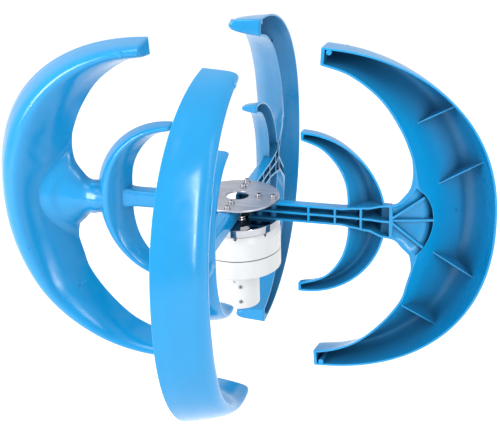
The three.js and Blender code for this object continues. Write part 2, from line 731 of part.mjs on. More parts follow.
place(stator, "upper_cover", upperCoverGeometry(), whitePaint);
place(stator, "lower_cover", lowerCoverGeometry(), whitePaint);
place(stator, "seam_gasket", seamGasketGeometry(), blackRubber);
place(stator, "shaft_seal", ring(shaftRadius + sealGap, 18.9, upperBearing.high + 0.6, coverTop - 0.3, 24),
  blackRubber);
place(stator, "stator_core", statorGeometry(), laminatedSteel);
const coil = coilGeometry();
for (let i = 0; i < toothCount; i++) {
  place(stator, `stator_coil_${i + 1}`, coil, enamelledCopper, vec(0, 0, 0), (i * 2 * Math.PI) / toothCount);
}
const screwLength = screwSeat - seamHeight + 12;
const coverScrew = geometryOf(cutFrom(
  joined([cylinder(screwHeadRadius, 0, 2.4, 8), cylinder(screwShankRadius, -screwLength, 0.5, 6)]),
  [cylinder(1.3, 1.2, 3, 6)],
));
for (let i = 0; i < coverScrewCount; i++) {
  const angle = coverScrewPhase + (i * 2 * Math.PI) / coverScrewCount;
  const spot = vec(coverScrewCircle * Math.cos(angle), coverScrewCircle * Math.sin(angle), screwSeat + gap);
  place(stator, `cover_screw_${i + 1}`, coverScrew, whitePaint, spot);
}
place(stator, "mast_sleeve", sleeveGeometry(), whitePaint);
setScrewHeights.forEach((height, i) => {
  place(stator, `mast_set_screw_${i + 1}`, setScrewGeometry(), brightSteel, vec(0, 0, height), setScrewAngle);
});
const sleeveScrew = sleeveScrewGeometry();
for (let i = 0; i < sleeveScrewCount; i++) {
  const angle = Math.PI / 4 + (i * 2 * Math.PI) / sleeveScrewCount;
  const spot = vec(sleeveScrewCircle * Math.cos(angle), sleeveScrewCircle * Math.sin(angle), 0);
  place(stator, `sleeve_screw_${i + 1}`, sleeveScrew, brightSteel, spot);
}
place(stator, "cable_grommet", grommetGeometry(), blackRubber);

export default turbine;
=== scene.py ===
# The small wind turbine's visual model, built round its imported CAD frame.
# Shapes are worked out in millimetres, in the CAD's frame, and become metres when a mesh is made.
import math

import bmesh
import bpy
from mathutils import Matrix, Vector
from mathutils.bvhtree import BVHTree


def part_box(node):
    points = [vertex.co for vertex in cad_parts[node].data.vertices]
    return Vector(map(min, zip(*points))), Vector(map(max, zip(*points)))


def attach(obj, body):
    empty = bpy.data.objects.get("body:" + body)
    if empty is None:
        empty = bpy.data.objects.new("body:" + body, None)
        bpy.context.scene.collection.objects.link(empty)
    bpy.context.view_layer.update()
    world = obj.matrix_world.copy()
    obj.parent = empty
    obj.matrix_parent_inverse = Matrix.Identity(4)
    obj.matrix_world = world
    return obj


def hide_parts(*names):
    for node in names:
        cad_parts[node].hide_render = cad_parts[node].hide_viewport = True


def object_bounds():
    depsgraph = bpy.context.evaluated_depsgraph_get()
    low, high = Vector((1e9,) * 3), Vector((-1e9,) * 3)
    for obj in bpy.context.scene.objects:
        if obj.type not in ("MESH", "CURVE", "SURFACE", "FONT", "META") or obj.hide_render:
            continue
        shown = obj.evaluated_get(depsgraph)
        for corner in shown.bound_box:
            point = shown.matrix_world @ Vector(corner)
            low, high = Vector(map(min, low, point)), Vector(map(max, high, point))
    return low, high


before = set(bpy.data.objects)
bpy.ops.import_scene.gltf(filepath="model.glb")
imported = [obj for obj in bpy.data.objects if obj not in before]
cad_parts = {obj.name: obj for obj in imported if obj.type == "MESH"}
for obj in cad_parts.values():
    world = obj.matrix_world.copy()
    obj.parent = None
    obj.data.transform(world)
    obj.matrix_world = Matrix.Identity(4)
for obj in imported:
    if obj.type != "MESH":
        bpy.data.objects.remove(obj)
cad_low, cad_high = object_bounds()

MM = 0.001
TURN = 2 * math.pi


def high_of(node, axis=2):
    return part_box(node)[1][axis] / MM


def low_of(node, axis=2):
    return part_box(node)[0][axis] / MM


# ---------------------------------------------------------------- sizes, most taken from the frame
ROTOR_RADIUS = high_of("blade_right", 0)
PLATE_TOP = high_of("hub_plate")
PLATE_BOTTOM = low_of("hub_plate")
PLATE_RADIUS = high_of("hub_plate", 0)
FLANGE_TOP = high_of("hub_flange")
FLANGE_BOTTOM = low_of("hub_flange")
FLANGE_RADIUS = high_of("hub_flange", 0)
COVER_TOP = high_of("upper_cover")
HOUSING_RADIUS = high_of("upper_cover", 0)
SEAM_LOW = high_of("lower_cover")
SEAM_HIGH = low_of("upper_cover")
HOUSING_BOTTOM = low_of("lower_cover")
SLEEVE_RADIUS = high_of("mast_sleeve", 0)
SLEEVE_TOP = high_of("mast_sleeve")
SHAFT_TOP = high_of("main_shaft")
NUT_LOW = low_of("shaft_nut")
NUT_HIGH = high_of("shaft_nut")

WALL = 3.0
GAP = 0.3
# How far the blade reaches in front of and behind its middle plane: a crescent's rim, the arm's lip,
# the arm's back with its corner radius, and the front of every cutter that opens a hollow.
RIM_FRONT = 6.0
LIP_FRONT = 12.0
ARM_BACK = 9.0
ARM_CORNER = 7.0
OPEN_FRONT = LIP_FRONT + 3
SIDES = ["right", "back", "left", "front"]
BOLT_CIRCLES = [34.3, 57.2]
BOLT_HOLE = 3
BOLT_BOSS = 5.5


# ---------------------------------------------------------------- curves and meshes
def mix(a, b, k):
    return a + (b - a) * k


def smooth_max(a, b, reach):
    """The larger of two values, rounded where they are within reach of each other."""
    near = max(reach - abs(a - b), 0) / reach
    return max(a, b) + near * near * reach / 4, near


class Spline:
    """A curve through points, measured along its length from 0 to 1."""

    STEPS = 24

    def __init__(self, points):
        knots = [Vector(p) for p in points]
        self.points = []
        for i in range(len(knots) - 1):
            before = knots[max(i - 1, 0)]
            after = knots[min(i + 2, len(knots) - 1)]
            for step in range(self.STEPS):
                self.points.append(self.between(before, knots[i], knots[i + 1], after, step / self.STEPS))
        self.points.append(knots[-1])
        self.lengths = [0.0]
        for a, b in zip(self.points, self.points[1:]):
            self.lengths.append(self.lengths[-1] + (b - a).length)

    @staticmethod
    def between(before, start, end, after, t):
        slope_start = (end - before) / 2
        slope_end = (after - start) / 2
        cubic = (start - end) * 2 + slope_start + slope_end
        square = (end - start) * 3 - slope_start * 2 - slope_end
        return ((cubic * t + square) * t + slope_start) * t + start

    def at(self, along):
        wanted = min(max(along, 0), 1) * self.lengths[-1]
        low, high = 0, len(self.lengths) - 1
        while high - low > 1:
            middle = (low + high) // 2
            if self.lengths[middle] <= wanted:
                low = middle
            else:
                high = middle
        part = (wanted - self.lengths[low]) / (self.lengths[high] - self.lengths[low])
        return self.points[low].lerp(self.points[high], part)


def make_object(name, vertices, faces):
    """An object from points in millimetres, with its faces turned outwards."""
    mesh = bpy.data.meshes.new(name)
    mesh.from_pydata([Vector(v) * MM for v in vertices], [], faces)
    work = bmesh.new()
    work.from_mesh(mesh)
    bmesh.ops.remove_doubles(work, verts=work.verts, dist=1e-6)
    bmesh.ops.recalc_face_normals(work, faces=work.faces)
    work.to_mesh(mesh)
    work.free()
    obj = bpy.data.objects.new(name, mesh)
    bpy.context.scene.collection.objects.link(obj)
    return obj


def loft(rings):
    """A closed skin over rings of points, with a flat face over each end."""
    count = len(rings[0])
    last = (len(rings) - 1) * count
    faces = side_faces(len(rings), count)
    faces.append(tuple(range(count)))
    faces.append(tuple(last + j for j in range(count)))
    return make_object("loft", [p for ring in rings for p in ring], faces)


def slab(pairs):
    """A closed skin over pairs of rows, a back and a front row, whose ends close with a strip."""
    rings = [back + front[::-1] for back, front in pairs]
    count = len(rings[0])
    last = (len(rings) - 1) * count
    faces = side_faces(len(rings), count)
    for start in (0, last):
        for i in range(count // 2 - 1):
            faces.append((start + i, start + i + 1, start + count - 2 - i, start + count - 1 - i))
    return make_object("slab", [p for ring in rings for p in ring], faces)


def side_faces(ring_count, count):
    faces = []
    for i in range(ring_count - 1):
        for j in range(count):
            a, b = i * count + j, i * count + (j + 1) % count
            faces.append((a, b, b + count, a + count))
    return faces


def rounded(profile, steps=5):
    """A closed profile of (radius, height, corner radius) with its corners turned to arcs."""
    outline = []
    for i, (x, y, corner) in enumerate(profile):
        here = Vector((x, y))
        back = (Vector(profile[i - 1][:2]) - here).normalized()
        ahead = (Vector(profile[(i + 1) % len(profile)][:2]) - here).normalized()
        if corner == 0:
            outline.append(here)
            continue
        half = back.angle(ahead) / 2
        centre = here + (back + ahead).normalized() * (corner / math.sin(half))
        start = here + back * (corner / math.tan(half)) - centre
        end = here + ahead * (corner / math.tan(half)) - centre
        for step in range(steps + 1):
            spoke = start.lerp(end, step / steps).normalized() * corner
            outline.append(centre + spoke)
    return outline


def turned(profile, segments=144):
    """A profile of (radius, height, corner radius) turned about the spin axis."""
    outline = rounded(profile)
    vertices = []
    for i in range(segments):
        angle = i * TURN / segments
        vertices += [(x * math.cos(angle), x * math.sin(angle), y) for x, y in outline]
    count = len(outline)
    faces = []
    for i in range(segments):
        for j in range(count):
            a, b = i * count + j, i * count + (j + 1) % count
            c, d = (a + count) % len(vertices), (b + count) % len(vertices)
            faces.append((a, b, d, c))
    return make_object("turned", vertices, faces)


def disc(radius, low, high, centre=(0, 0), segments=32, fillet=0.0, turn=0.0):
    """An upright solid cylinder or prism, with its top edge rounded."""
    levels = [(radius, low), (radius, high - fillet)]
    if fillet:
        for step in range(1, 4):
            angle = step * math.pi / 6
            levels.append((radius - fillet * (1 - math.cos(angle)), high - fillet * (1 - math.sin(angle))))
    rings = []
    for r, z in levels:
        ring = []
        for i in range(segments):
            angle = turn + i * TURN / segments
            ring.append((centre[0] + r * math.cos(angle), centre[1] + r * math.sin(angle), z))
        rings.append(ring)
    return loft(rings)


def settle(obj):
    """Applies an object's modifiers to its mesh."""
    shape = obj.evaluated_get(bpy.context.evaluated_depsgraph_get())
    mesh = bpy.data.meshes.new_from_object(shape)
    obj.modifiers.clear()
    obj.data = mesh
    return obj


def combine(base, tool, operation):
    change = base.modifiers.new("change", "BOOLEAN")
    change.solver = "MANIFOLD"
    change.operation = operation
    change.object = tool
    settle(base)
    bpy.data.objects.remove(tool)
    return base


def join(base, *tools):
    for tool in tools:
        combine(base, tool, "UNION")
    return base


def cut(base, *tools):
    for tool in tools:
        combine(base, tool, "DIFFERENCE")
    return base


def copy_of(obj):
    twin = obj.copy()
    twin.data = obj.data.copy()
    bpy.context.scene.collection.objects.link(twin)
    return twin


def shade(obj, sharp_above=38):
    """Smooth shading, with edges kept sharp where faces meet at more than an angle in degrees."""
    mesh = obj.data
    work = bmesh.new()
    work.from_mesh(mesh)
    for face in work.faces:
        face.smooth = True
    for edge in work.edges:
        edge.smooth = not (len(edge.link_faces) == 2 and edge.calc_face_angle() > math.radians(sharp_above))
    work.to_mesh(mesh)
    work.free()
    return obj


def finish_piece(obj, name, body, slot, material, *nodes):
    """Names a piece, gives it its material and body, and lets it stand for CAD nodes."""
    obj.name = name
    obj.data.name = name
    obj.data.materials.clear()
    obj.data.materials.append(material)
    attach(obj, body)
    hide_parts(*nodes)
    return obj


# ---------------------------------------------------------------- materials
class Nodes:
    """A material's node tree, with short calls to add and join nodes."""

    def __init__(self, name):
        self.material = bpy.data.materials.new(name)
        self.material.use_nodes = True
        self.tree = self.material.node_tree
        self.shader = self.tree.nodes["Principled BSDF"]
        self.place = self.add("ShaderNodeTexCoord").outputs["Object"]

    def add(self, kind, **settings):
        node = self.tree.nodes.new(kind)
        for key, value in settings.items():
            setattr(node, key, value)
        return node

    def link(self, source, target):
        self.tree.links.new(source, target)

    def set(self, **values):
        for key, value in values.items():
            self.shader.inputs[key.replace("_", " ")].default_value = value

    def stretched(self, x, y, z):
        mapping = self.add("ShaderNodeMapping")
        mapping.inputs["Scale"].default_value = (x, y, z)
        self.link(self.place, mapping.inputs["Vector"])
        return mapping.outputs["Vector"]

    def noise(self, scale, detail=3.0, roughness=0.5, vector=None):
        node = self.add("ShaderNodeTexNoise")
        node.inputs["Scale"].default_value = scale
        node.inputs["Detail"].default_value = detail
        node.inputs["Roughness"].default_value = roughness
        self.link(vector or self.place, node.inputs["Vector"])
        return node.outputs["Fac"]

    def ramp(self, source, low, high, start=0.0, end=1.0):
        node = self.add("ShaderNodeMapRange")
        node.inputs["From Min"].default_value = start
        node.inputs["From Max"].default_value = end
        node.inputs["To Min"].default_value = low
        node.inputs["To Max"].default_value = high
        self.link(source, node.inputs["Value"])
        return node.outputs["Result"]

    def blend(self, factor, first, second):
        """A colour between two, each a colour or a socket."""
        node = self.add("ShaderNodeMix", data_type="RGBA")
        self.link(factor, node.inputs["Factor"])
        for socket, value in ((node.inputs[6], first), (node.inputs[7], second)):
            if isinstance(value, tuple):
                socket.default_value = (*value, 1)
            else:
                self.link(value, socket)
        return node.outputs[2]

    def edges(self, width, start=0.02, end=0.25):
        """1 along convex and concave edges narrower than width in metres, 0 on open faces."""
        bevel = self.add("ShaderNodeBevel", samples=4)
        bevel.inputs["Radius"].default_value = width
        plain = self.add("ShaderNodeNewGeometry").outputs["Normal"]
        dot = self.add("ShaderNodeVectorMath", operation="DOT_PRODUCT")
        self.link(bevel.outputs["Normal"], dot.inputs[0])
        self.link(plain, dot.inputs[1])
        return self.ramp(dot.outputs["Value"], 0, 1, 1 - start, 1 - end)

    def openness(self, reach, samples=6):
        """How open a point is to its surroundings within a reach in metres: 1 on open faces."""
        node = self.add("ShaderNodeAmbientOcclusion", samples=samples)
        node.inputs["Distance"].default_value = reach
        return node.outputs["AO"]

    def bump(self, height, strength, distance, round_edges=0.0):
        node = self.add("ShaderNodeBump")
        node.inputs["Strength"].default_value = strength
        node.inputs["Distance"].default_value = distance
        self.link(height, node.inputs["Height"])
        if round_edges:
            bevel = self.add("ShaderNodeBevel", samples=4)
            bevel.inputs["Radius"].default_value = round_edges
            self.link(bevel.outputs["Normal"], node.inputs["Normal"])
        self.link(node.outputs["Normal"], self.shader.inputs["Normal"])

    def colour(self, socket):
        self.link(socket, self.shader.inputs["Base Color"])

    def roughness(self, socket):
        self.link(socket, self.shader.inputs["Roughness"])


def blade_plastic():
    """Glossy blue moulding: faint flow marks, fine grain, paler along edges as painted edge highlight and
    wear, darker in its hollows as painted shade, and rougher there as if dusty.
    """
    m = Nodes("blade_plastic")
    flow = m.noise(9, 4, 0.6, m.stretched(1, 1, 0.35))
    body = m.blend(m.ramp(flow, 0, 1, 0.3, 0.7), (0.0006, 0.184, 0.418), (0.001, 0.211, 0.462))
    # Paler blue along the edges: partly painted edge highlight, partly wear.
    edged = m.blend(m.edges(0.0016), body, (0.01, 0.36, 0.74))
    # The colour darkens to a deep blue where a point is closed in: painted shade in the troughs, cells and
    # crevices.
    open_air = m.openness(0.07)
    m.colour(m.blend(m.ramp(open_air, 0, 1, 0.2, 0.95), (0.0006, 0.08, 0.185), edged))
    dust = m.add("ShaderNodeMath", operation="ADD")
    m.link(m.ramp(m.noise(60, 3), 0.16, 0.24, 0.3, 0.7), dust.inputs[0])
    m.link(m.ramp(open_air, 0.45, 0, 0.4, 0.95), dust.inputs[1])
    m.roughness(dust.outputs["Value"])
    m.bump(m.noise(900, 2), 0.05, 0.0004, 0.0009)
    m.set(Specular_IOR_Level=0.45)
    return m.material


def brushed_plate():
    """Brushed steel plate: long fine scratches along one way, and small stains."""
    m = Nodes("brushed_plate")
    grain = m.noise(220, 3, 0.6, m.stretched(0.06, 1.6, 1))
    stain = m.noise(35, 4)
    tone = m.blend(m.ramp(grain, 0, 1, 0.35, 0.65), (0.34, 0.35, 0.4), (0.52, 0.53, 0.58))
    m.colour(m.blend(m.ramp(stain, 0, 0.35, 0.45, 0.7), tone, (0.3, 0.31, 0.36)))
    m.roughness(m.ramp(grain, 0.3, 0.5))
    m.bump(grain, 0.12, 0.0003, 0.0006)
    m.set(Metallic=0.85)
    return m.material


def mirror_polish():
    """A turned disc polished to a mirror, with the faintest turning rings."""
    m = Nodes("mirror_polish")
    rings = m.noise(90, 2, 0.5, m.stretched(0.02, 0.02, 6))
    m.colour(m.blend(m.ramp(m.noise(28), 0, 1, 0.35, 0.7), (0.34, 0.35, 0.38), (0.43, 0.44, 0.47)))
    m.roughness(m.ramp(rings, 0.03, 0.1, 0.3, 0.7))
    m.bump(rings, 0.05, 0.0002, 0.0005)
    m.set(Metallic=1.0)
    return m.material


def white_paint():
    """Semi-gloss white paint over a casting: orange peel, faint grime, thin paint at the edges."""
    m = Nodes("white_paint")
    grime = m.noise(22, 5, 0.6)
    body = m.blend(m.ramp(grime, 0, 0.5, 0.45, 0.75), (0.5, 0.505, 0.5), (0.45, 0.455, 0.45))
    worn = m.add("ShaderNodeMath", operation="MULTIPLY")
    m.link(m.edges(0.0012, 0.03, 0.4), worn.inputs[0])
    m.link(m.ramp(m.noise(160, 4), 0, 0.6, 0.45, 0.6), worn.inputs[1])
    m.colour(m.blend(worn.outputs["Value"], body, (0.6, 0.6, 0.59)))
    m.roughness(m.ramp(m.noise(70, 3), 0.26, 0.4, 0.3, 0.7))
    m.bump(m.noise(480, 3), 0.12, 0.0005, 0.0008)
    m.set(Specular_IOR_Level=0.4)
    return m.material


def bright_steel(name, dark, light, rough_low, rough_high, grain_scale=300):
    """Machined or plated metal: fine streaks, uneven plating, bright edges, and painted shade darkening its
    crevices.
    """
    m = Nodes(name)
    streak = m.noise(grain_scale, 3, 0.6, m.stretched(1, 1, 5))
    tone = m.blend(m.ramp(streak, 0, 1, 0.3, 0.7), dark, light)
    edged = m.blend(m.edges(0.0006), tone, (0.85, 0.85, 0.86))
    # Darkens to near black where a point is closed in: painted shade in sockets and crevices.
    m.colour(m.blend(m.ramp(m.openness(0.006), 0, 1, 0.15, 0.85), (0.03, 0.03, 0.035), edged))
    m.roughness(m.ramp(m.noise(120, 4), rough_low, rough_high, 0.3, 0.7))
    m.bump(streak, 0.06, 0.0002, 0.0003)
    m.set(Metallic=1.0)
    return m.material


def black_rubber():
    m = Nodes("black_rubber")
    m.colour(m.blend(m.ramp(m.noise(90, 4), 0, 1, 0.35, 0.7), (0.012, 0.012, 0.013), (0.035, 0.035, 0.036)))
    m.roughness(m.ramp(m.noise(200), 0.6, 0.85))
    m.bump(m.noise(700, 4), 0.25, 0.0004)
    return m.material


def laminated_steel():
    """Stacked sheets, seen as fine level lines, under varnish."""
    m = Nodes("laminated_steel")
    sheets = m.add("ShaderNodeTexWave", bands_direction="Z")
    sheets.inputs["Scale"].default_value = 320
    sheets.inputs["Distortion"].default_value = 0.4
    m.link(m.place, sheets.inputs["Vector"])
    m.colour(m.blend(sheets.outputs["Fac"], (0.05, 0.05, 0.055), (0.2, 0.2, 0.21)))
    m.roughness(m.ramp(m.noise(80), 0.35, 0.6))
    m.bump(sheets.outputs["Fac"], 0.3, 0.0003)
    m.set(Metallic=0.7)
    return m.material


def copper_wire():
    """Layers of enamelled wire, seen as fine bands."""
    m = Nodes("copper_wire")
    turns = m.add("ShaderNodeTexWave", bands_direction="DIAGONAL")
    turns.inputs["Scale"].default_value = 260
    turns.inputs["Distortion"].default_value = 1.2
    m.link(m.place, turns.inputs["Vector"])
    m.colour(m.blend(turns.outputs["Fac"], (0.25, 0.07, 0.02), (0.72, 0.3, 0.11)))
    m.roughness(m.ramp(m.noise(150), 0.25, 0.45))
    m.bump(turns.outputs["Fac"], 0.5, 0.0005)
    m.set(Metallic=0.8, Coat_Weight=0.5, Coat_Roughness=0.2)
    return m.material


def pale_floor():
    m = Nodes("pale_floor")
    m.colour(m.blend(m.ramp(m.noise(2.5, 3), 0, 1, 0.3, 0.7), (0.93, 0.93, 0.93), (0.96, 0.96, 0.96)))
    m.set(Roughness=0.9)
    return m.material


BLUE = blade_plastic()
PLATE = brushed_plate()
MIRROR = mirror_polish()
WHITE = white_paint()
FASTENER = bright_steel("plated_fastener", (0.26, 0.26, 0.28), (0.5, 0.5, 0.52), 0.22, 0.38)
GROUND = bright_steel("ground_steel", (0.5, 0.5, 0.52), (0.7, 0.7, 0.72), 0.12, 0.25, 500)
NICKEL = bright_steel("nickel_magnet", (0.5, 0.48, 0.44), (0.7, 0.68, 0.63), 0.15, 0.3, 150)
RUBBER = black_rubber()
LAMINATION = laminated_steel()
COPPER = copper_wire()


# ---------------------------------------------------------------- blade outlines
# An outline point is (distance from the spin axis, height above the hub plate's top).
def outer_edge():
    """A slightly squared half ellipse."""
    centre_r, centre_z, squareness, steps = 110, -6, 0.89, 40
    points = []
    for i in range(steps + 1):
        angle = mix(math.pi * 0.478, -math.pi * 0.49, i / steps)
        height = 251 if angle > 0 else -276
        across = (ROTOR_RADIUS - centre_r) * math.cos(angle) ** squareness
        points.append((centre_r + across, centre_z + height * abs(math.sin(angle)) ** squareness))
    return Spline(points)


def inner_edge():
    return Spline([
        (135, 217), (178, 203), (222, 170), (252, 127), (268, 90), (275, 62), (278, 42),
        (285, 16), (288, -15), (285, -46), (279, -76), (273, -98), (266, -124), (257, -153),
        (230, -192), (192, -229), (156, -248), (122, -257),
    ])


def small_outer_edge():
    steps = 24
    points = []
    for i in range(steps + 1):
        angle = mix(math.pi / 2, -math.pi * 0.515, i / steps)
        height = 130 if angle > 0 else 134
        points.append((104 + 130 * math.cos(angle), -18 + height * math.sin(angle)))
    return Spline(points)


def small_inner_edge():
    return Spline([
        (104, 99), (134, 87), (158, 62), (172, 30), (175, -15),
        (174, -54), (163, -91), (138, -122), (98, -138),
    ])


# Across a crescent the shell goes from its outer edge straight back, over a rounded ridge, and
# slopes forward to its inner edge: (part of the width, part of the depth). It is boxier at its tips.
MIDDLE_SECTION = Spline([
    (1, 0), (0.965, 0.15), (0.92, 0.35), (0.81, 0.7), (0.73, 0.88), (0.62, 0.98),
    (0.5, 0.935), (0.28, 0.62), (0.12, 0.27), (0, 0),
])
TIP_SECTION = Spline([
    (1, 0), (0.975, 0.25), (0.95, 0.5), (0.9, 0.76), (0.8, 0.93), (0.62, 1),
    (0.42, 0.97), (0.26, 0.83), (0.12, 0.5), (0, 0),
])
SECTION_STEPS = 44

# A crescent's two edges, its depths at the top tip, the bottom tip and the middle, how far its end
# walls bulge, and how many sections its skin is drawn through.
BIG = dict(outer=outer_edge(), inner=inner_edge(), tip_depths=(52, 50), middle=66, bulge=3, stations=130)
SMALL = dict(
    outer=small_outer_edge(), inner=small_inner_edge(), tip_depths=(25, 23), middle=32, bulge=2, stations=70)


def section_ring(crescent, along, inset):
    """A crescent's section at a part of its length, or the hollow inside it when there is an inset."""
    outer, inner = crescent["outer"].at(along), crescent["inner"].at(along)
    width = (outer - inner).length
    belly = max(math.sin(math.pi * along), 0)
    boxiness = (1 - belly) ** 3
    depth = mix(mix(*crescent["tip_depths"], along), crescent["middle"], belly ** 0.7) - inset
    ring = []
    for i in range(SECTION_STEPS + 1):
        part = i / SECTION_STEPS
        across, back = MIDDLE_SECTION.at(part).lerp(TIP_SECTION.at(part), boxiness)
        place = inner.lerp(outer, mix(inset / width, 1 - inset / width, across))
        ring.append(Vector((place.x, back * depth - RIM_FRONT, place.y + PLATE_TOP)))
    if inset:
        ring.append(Vector((ring[-1].x, -OPEN_FRONT, ring[-1].z)))
        ring.append(Vector((ring[0].x, -OPEN_FRONT, ring[0].z)))
    return ring


def tip_rings(ring, depth, bulge):
    """A tip's end wall, with its corners rounded."""
    middle = sum(ring, Vector()) / len(ring)
    corner = min(5, depth / 8)
    rings = []
    for step in range(1, 8):
        angle = step / 7 * math.pi / 2
        inset = corner * (1 - math.cos(angle))
        forward = Vector((bulge * math.sin(angle), 0, 0))
        row = []
        for p in ring:
            inwards = middle - p
            row.append(p + inwards * min(inset / inwards.length, 0.9) - forward)
        rings.append(row)
    return rings


def crescent_solid(crescent, inset):
    """A whole crescent, or the cutter for its trough when there is an inset."""
    start = inset / crescent["outer"].lengths[-1]
    count = crescent["stations"]
    rings = [section_ring(crescent, mix(start, 1 - start, i / count), inset) for i in range(count + 1)]
    if not inset:
        top = tip_rings(rings[0], crescent["tip_depths"][0], crescent["bulge"])
        bottom = tip_rings(rings[-1], crescent["tip_depths"][1], crescent["bulge"])
        rings = top[::-1] + rings + bottom
    return loft(rings)


# ---------------------------------------------------------------- the blade's arm and fan
# The arm's distance from the axis, top and bottom. It widens where the small crescent crosses it.
ARM_SECTIONS = [
    (20, -3.3, -31.9), (165, -3.3, -31.9), (185, -1, -35), (205, 1, -38), (231, 5, -48), (241, 5, -50),
]
ARM_START = ARM_SECTIONS[0][0]
ARM_END = ARM_SECTIONS[-1][0]
TAPER_START = 205
RUNGS = [115, 156, 196, 240]
RIB_HALF = 1.5


def arm_edge(side, r):
    for before, after in zip(ARM_SECTIONS, ARM_SECTIONS[1:]):
        if r <= after[0]:
            part = (r - before[0]) / (after[0] - before[0])
            part = part * part * (3 - 2 * part)
            return PLATE_TOP + mix(before[side], after[side], part)
    return PLATE_TOP + ARM_SECTIONS[-1][side]


def arm_high(r):
    return arm_edge(1, r)


def arm_low(r):
    return arm_edge(2, r)


def arm_centre(r):
    return (arm_high(r) + arm_low(r)) / 2


def cell_roof(r):
    return arm_high(r) - WALL


def cell_floor(r):
    return arm_low(r) + WALL


def rib_top(r):
    return arm_centre(r) + RIB_HALF


def rib_underside(r):
    return arm_centre(r) - RIB_HALF


def arm_front(r):
    return mix(LIP_FRONT, RIM_FRONT, max(0, r - TAPER_START) / (ARM_END - TAPER_START))


def open_front(r):
    return OPEN_FRONT


def box_ring(r, high, low, front, back, corner, steps=5):
    """A box section at one distance from the axis, square in front and rounded behind."""
    ring = [(r, -front, high)]
    for step in range(steps + 1):
        angle = step / steps * math.pi / 2
        ring.append((r, back - corner + corner * math.sin(angle), high - corner + corner * math.cos(angle)))
    for step in range(steps + 1):
        angle = step / steps * math.pi / 2
        ring.append((r, back - corner + corner * math.cos(angle), low + corner - corner * math.sin(angle)))
    ring.append((r, -front, low))
    return ring


def arm_bar(start, end, high, low, front, back, corner):
    """A bar along the arm, whose top, bottom and front are functions of the distance from the axis."""
    count = max(2, round((end - start) / 5))
    rings = []
    for i in range(count + 1):
        r = mix(start, end, i / count)
        rings.append(box_ring(r, high(r), low(r), front(r), back, corner))
    return loft(rings)


def arm_cells(back, first, last):
    """The hollows of the arm: an upper and a lower row of cells between the rungs."""
    limits = [ARM_START - 2] + RUNGS
    corner = 4
    cells = []
    for before, after in zip(limits, limits[1:]):
        start, end = max(before + RIB_HALF, first), min(after - RIB_HALF, last)
        if end > start:
            for high, low in ((cell_roof, rib_top), (rib_underside, cell_floor)):
                cells.append(arm_bar(start, end, high, low, open_front, back, corner))
    return cells


# The fan's stations are bowed lines across it, from the small crescent's ridge to inside the big one:
# the distance from the axis and the two heights where a line meets the fan's edges, how far its middle
# bows out, the depth behind, the flatness of the back's arch, and how deep the front is dished.
FAN_STATIONS = [
    (211, 2, -41, 0, 25, 0.4, 0),
    (229, 4, -48, 0, 25, 0.42, 0),
    (241, 5, -50, 3, 22, 0.44, 6),
    (250, 9, -54, 8, 22, 0.46, 10),
    (258, 18, -63, 17, 24, 0.5, 14),
    (265.5, 28, -70, 25, 27, 0.54, 18),
    (270.5, 39, -77, 32.5, 30, 0.6, 33),
    (272.8, 59, -95, 42, 23, 0.8, 0),
    (271, 82, -112, 52, 12, 1, 0),
    (270, 102, -128, 62, 1, 1, 0),
]
POCKET_START = 2
POCKET_END = 6
POCKET_ROUNDNESS = 0.6
FAN_ROUNDNESS = 1
FAN_STEPS = 40


def finer(stations, between=6):
    """More stations along smooth curves through the given ones."""
    result = []
    last = len(stations) - 1
    for i in range(last):
        around = [stations[max(i - 1, 0)], stations[i], stations[i + 1], stations[min(i + 2, last)]]
        for step in range(between):
            t = step / between
            result.append(tuple(Spline.between(*values, t) for values in zip(*around)))
    result.append(stations[-1])
    return result


def fan_row(station, margin, roundness, depth_at):
    """Points along a station, whose depths are a function of the place and the share of the way."""
    r, top, bottom, bow = station[:4]
    row = []
    for i in range(FAN_STEPS + 1):
        share = i / FAN_STEPS
        across = mix(margin / (top - bottom), 1 - margin / (top - bottom), share)
        x = r + bow * (4 * across * (1 - across)) ** roundness
        z = PLATE_TOP + mix(top, bottom, across)
        row.append(Vector((x, depth_at(x, z, share), z)))
    return row


def hump(share):
    return max(0, math.sin(math.pi * share))


def fan_solid(shell):
    """The neck's flare: an arched back that melts into the big crescent's slope behind it."""
    surface = BVHTree.FromObject(shell, bpy.context.evaluated_depsgraph_get())
    edge, widest_blend, sink = 0.5, 42, 0.5

    def back_at(station, x, z, share):
        back = (station[4] + RIM_FRONT) * hump(share) ** station[5] - RIM_FRONT
        hit = surface.ray_cast(Vector((x, 200, z)) * MM, Vector((0, -1, 0)))[0]
        if hit is not None:
            skin = hit.y / MM
            both, near = smooth_max(back, skin, max(0.1, min(widest_blend, back + RIM_FRONT)))
            back = both - (sink * (1 - near) if skin > back else 0)
        return max(back, edge - RIM_FRONT)

    pairs = []
    for station in finer(FAN_STATIONS):
        back = fan_row(station, 0, FAN_ROUNDNESS, lambda x, z, share: back_at(station, x, z, share))
        front = fan_row(station, 0, FAN_ROUNDNESS, lambda x, z, share: -RIM_FRONT)
        pairs.append((back, front))
    return slab(pairs)


def fan_pocket():
    """A cutter that dishes the fan's front from the neck to an arc, where it is deepest."""
    pairs = []
    for station in finer(FAN_STATIONS[POCKET_START:POCKET_END + 1]):
        dished = station[6]
        deep = fan_row(
            station, WALL, POCKET_ROUNDNESS, lambda x, z, share: dished * hump(share) ** 0.7 - RIM_FRONT)
        front = fan_row(station, WALL, POCKET_ROUNDNESS, lambda x, z, share: -OPEN_FRONT)
        pairs.append((deep, front))
    return slab(pairs)


# Ribs from the neck across the pockets to the arc: their angle, and how deep their tops end.
FAN_RIBS = [(0.65, -2), (-0.01, 11), (-0.68, -2)]


def fan_rib(angle, end_top):
    length, floor, half = 66, 27, 1.7
    neck = Vector((238, PLATE_TOP - 20))
    along = Vector((math.cos(angle), math.sin(angle)))
    side = Vector((-along.y, along.x))
    rings = []
    for distance, top in ((0, -RIM_FRONT), (length, end_top)):
        place = neck + along * distance
        ring = []
        for across, back in ((half, top), (-half, top), (-half, floor), (half, floor)):
            point = place + side * across
            ring.append((point.x, back, point.y))
        rings.append(ring)
    return loft(rings)


